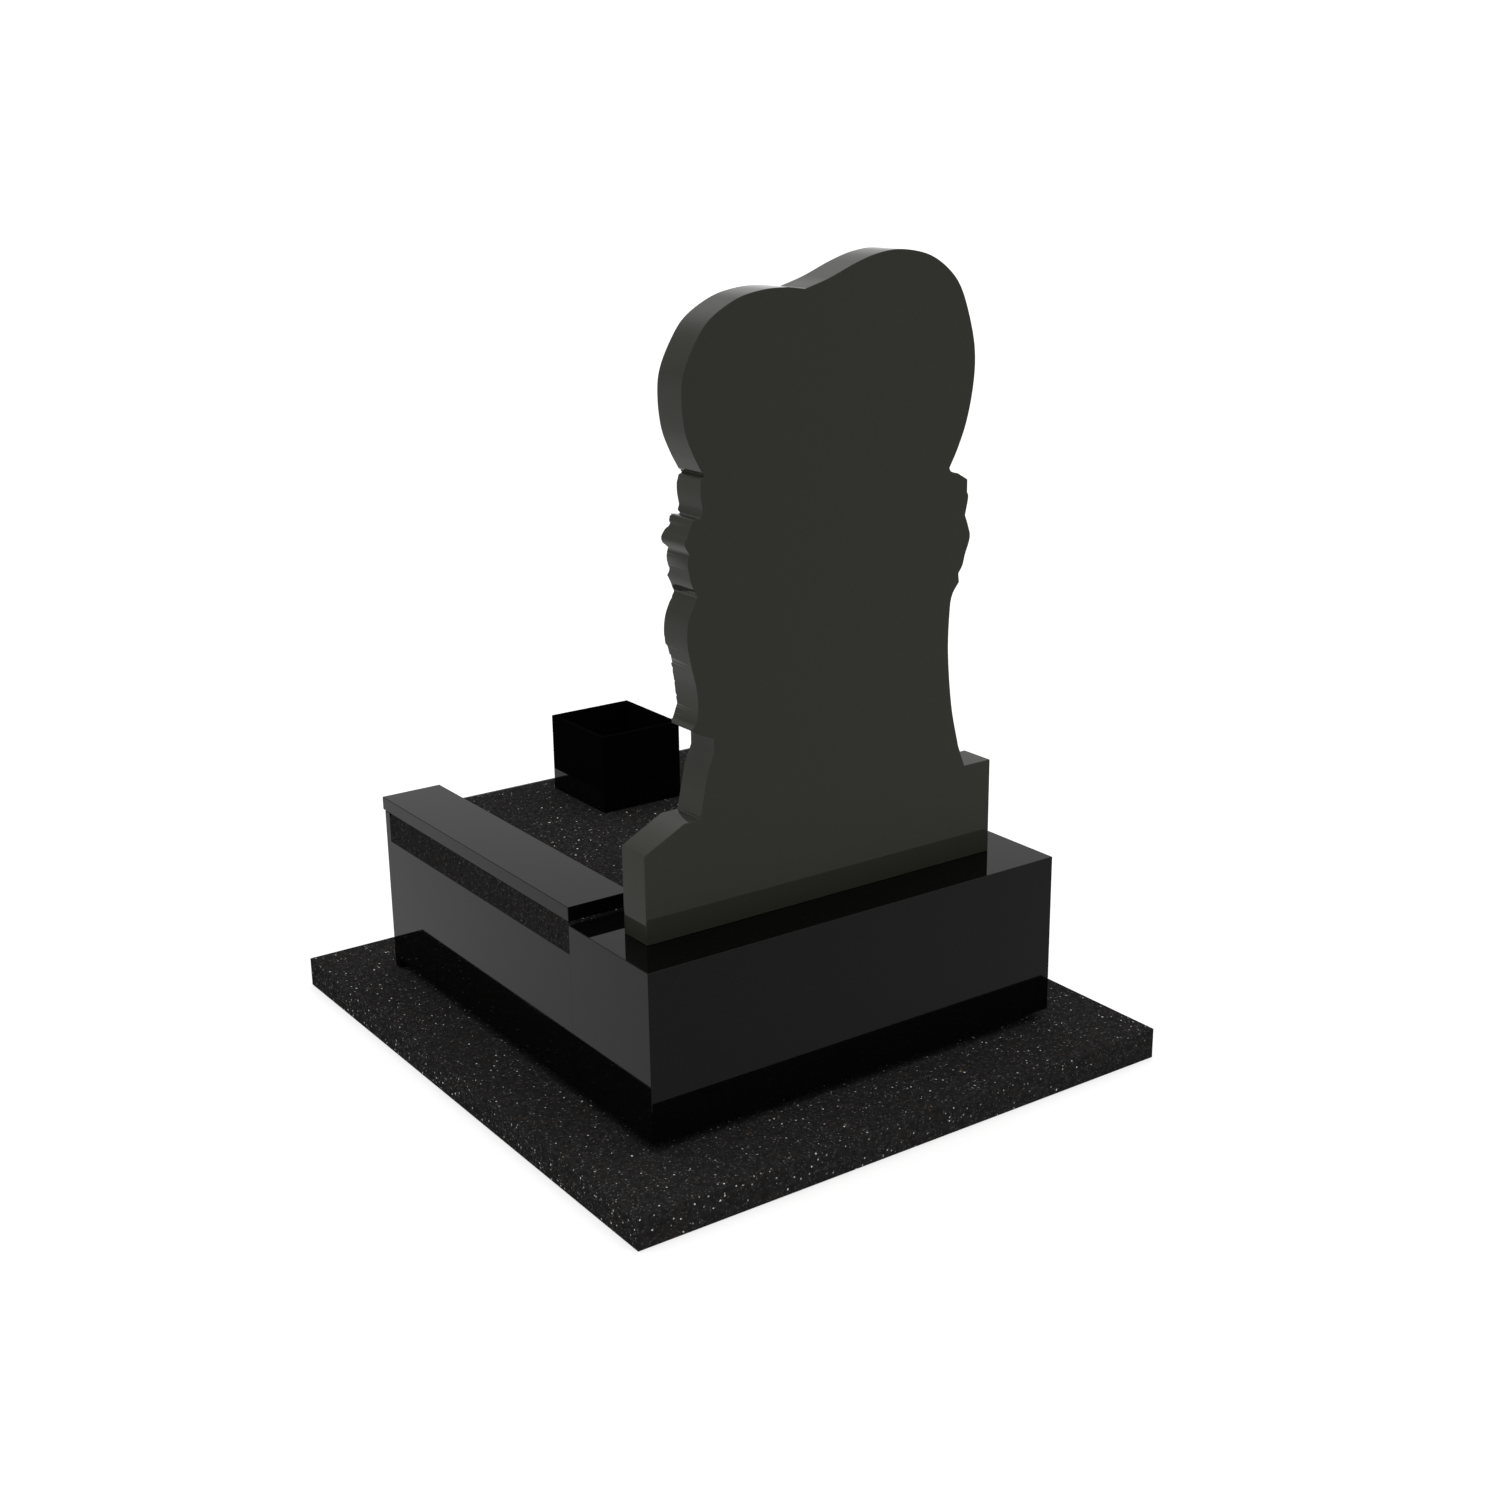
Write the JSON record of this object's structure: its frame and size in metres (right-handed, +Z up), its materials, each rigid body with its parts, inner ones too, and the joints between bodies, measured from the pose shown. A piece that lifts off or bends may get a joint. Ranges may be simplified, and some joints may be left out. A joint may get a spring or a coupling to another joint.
{
  "type": "headstone",
  "caption": "Granite headstone carved as a heart with roses and a leaf at its sides, on a plinth and low grave surround with a speckled cover slab and a square open planter.",
  "frame": {"origin": "middle of the ground slab's underside", "axes": "+Z up; the front faces -Y and the smooth back of the headstone faces +Y; +X is to the right of somebody who stands in front of the stone"},
  "size_m": [1.16, 1.285, 1.5113],
  "materials": {
    "speckled_granite": "polished, with dense white and brown flecks",
    "black_granite": "mirror polished",
    "planter_black": "honed, satin"
  },
  "bodies": {
    "root": {"ground_slab": "speckled_granite", "rear_plinth": "black_granite", "right_kerb": "black_granite", "left_kerb": "black_granite", "front_plate": "black_granite", "cover_slab": "speckled_granite", "right_cap": "black_granite", "left_cap": "black_granite", "headstone": "black_granite", "planter_foot": "black_granite", "planter": "planter_black"}
  },
  "joints": []
}
